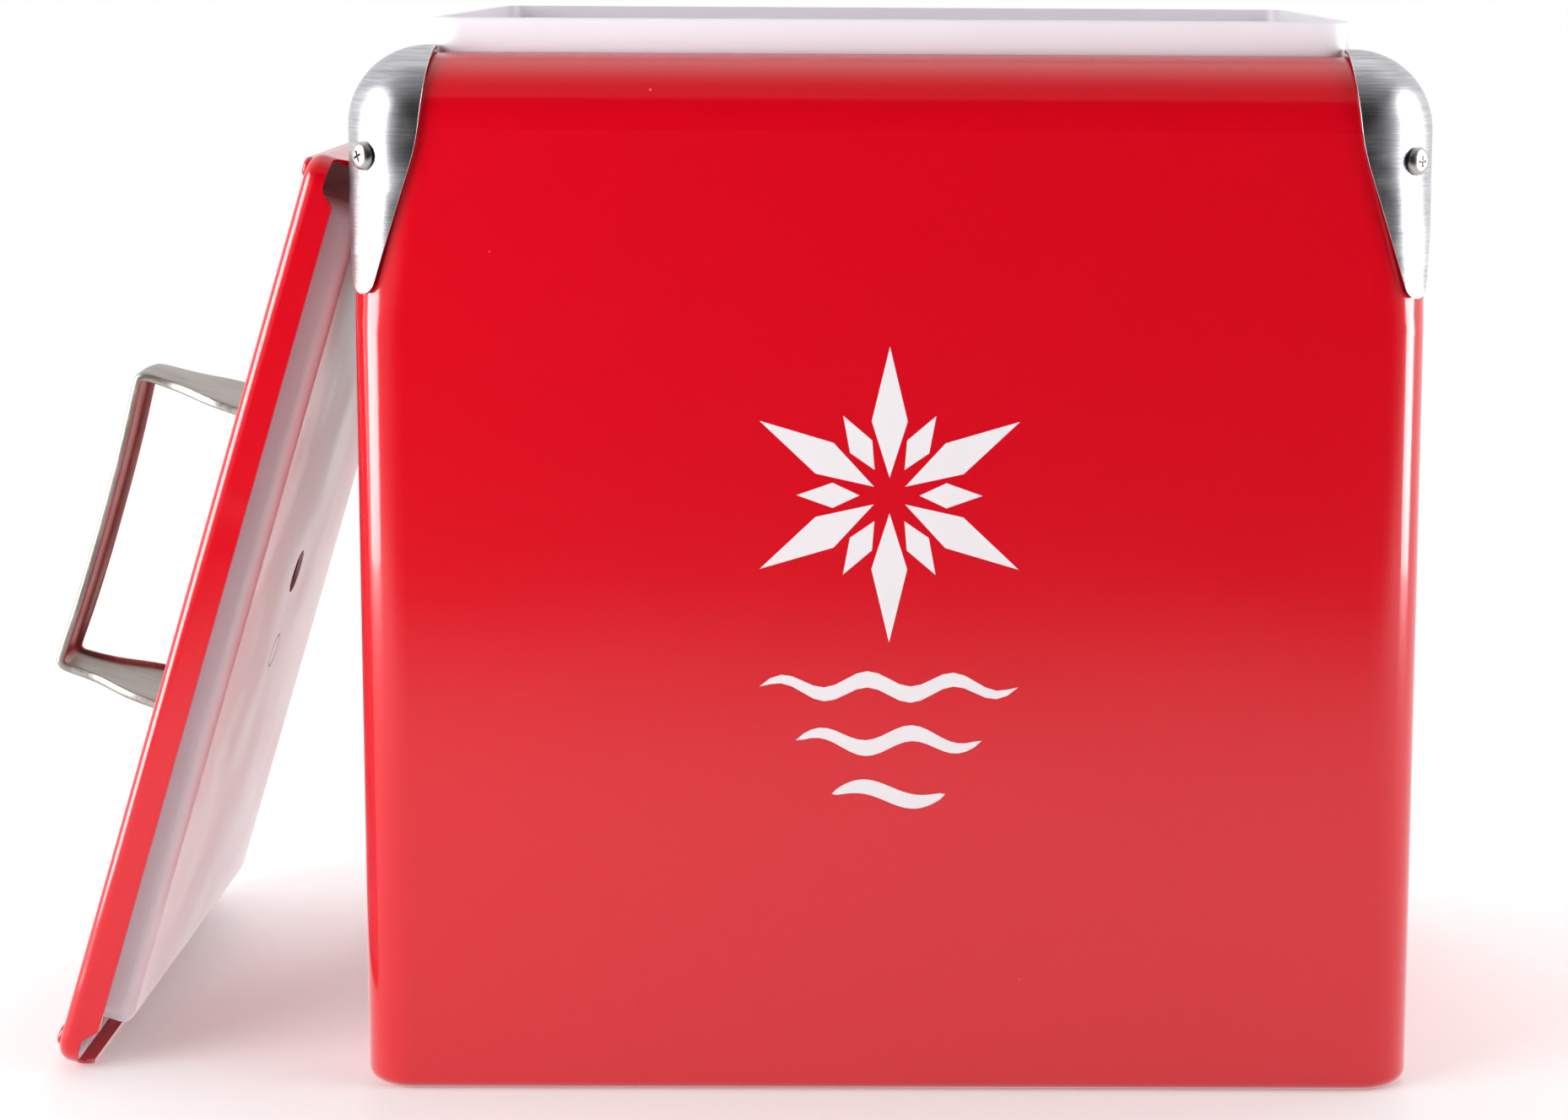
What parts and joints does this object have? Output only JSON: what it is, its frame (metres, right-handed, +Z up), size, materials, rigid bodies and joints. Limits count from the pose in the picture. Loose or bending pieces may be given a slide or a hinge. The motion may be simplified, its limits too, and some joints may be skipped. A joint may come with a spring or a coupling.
{
  "type": "picnic cooler",
  "caption": "Insulated steel picnic cooler with a white liner, metal corner guards and a lift-off lid with a strap handle, standing open with its lid against the side.",
  "frame": {"origin": "centre of the cabinet's underside, on the floor", "axes": "+X to the right as seen from the front, +Y to the back, +Z up; the lid leans on the -X side"},
  "size_m": [0.4525, 0.2392, 0.3345],
  "materials": {
    "red_enamel": "gloss",
    "brushed_aluminium": "brushed",
    "stainless_strap": "brushed",
    "bright_screws": "polished",
    "zinc_steel": "zinc plated",
    "white_liner": "satin",
    "dark_plug": "matt",
    "foam": "matt"
  },
  "bodies": {
    "cabinet": {"body_shell": "red_enamel", "base_pan": "red_enamel", "base_fill_plug": "dark_plug", "liner": "white_liner", "body_insulation": "foam", "front_left_guard": "brushed_aluminium", "front_right_guard": "brushed_aluminium", "back_left_guard": "brushed_aluminium", "back_right_guard": "brushed_aluminium", "guard_screws": "bright_screws", "guard_clip_nuts": "zinc_steel"},
    "lid": {"lid_shell": "red_enamel", "lid_liner": "white_liner", "lid_insulation": "foam", "lid_fill_plug": "dark_plug", "handle": "stainless_strap", "handle_screws": "bright_screws", "handle_backing_plates": "zinc_steel", "handle_washers": "zinc_steel", "handle_nuts": "zinc_steel"}
  },
  "joints": [
    {"name": "lid_lift", "type": "slide", "parent": "cabinet", "child": "lid", "axis": [0, 0, 1], "range_m": [0, 0.4]}
  ]
}
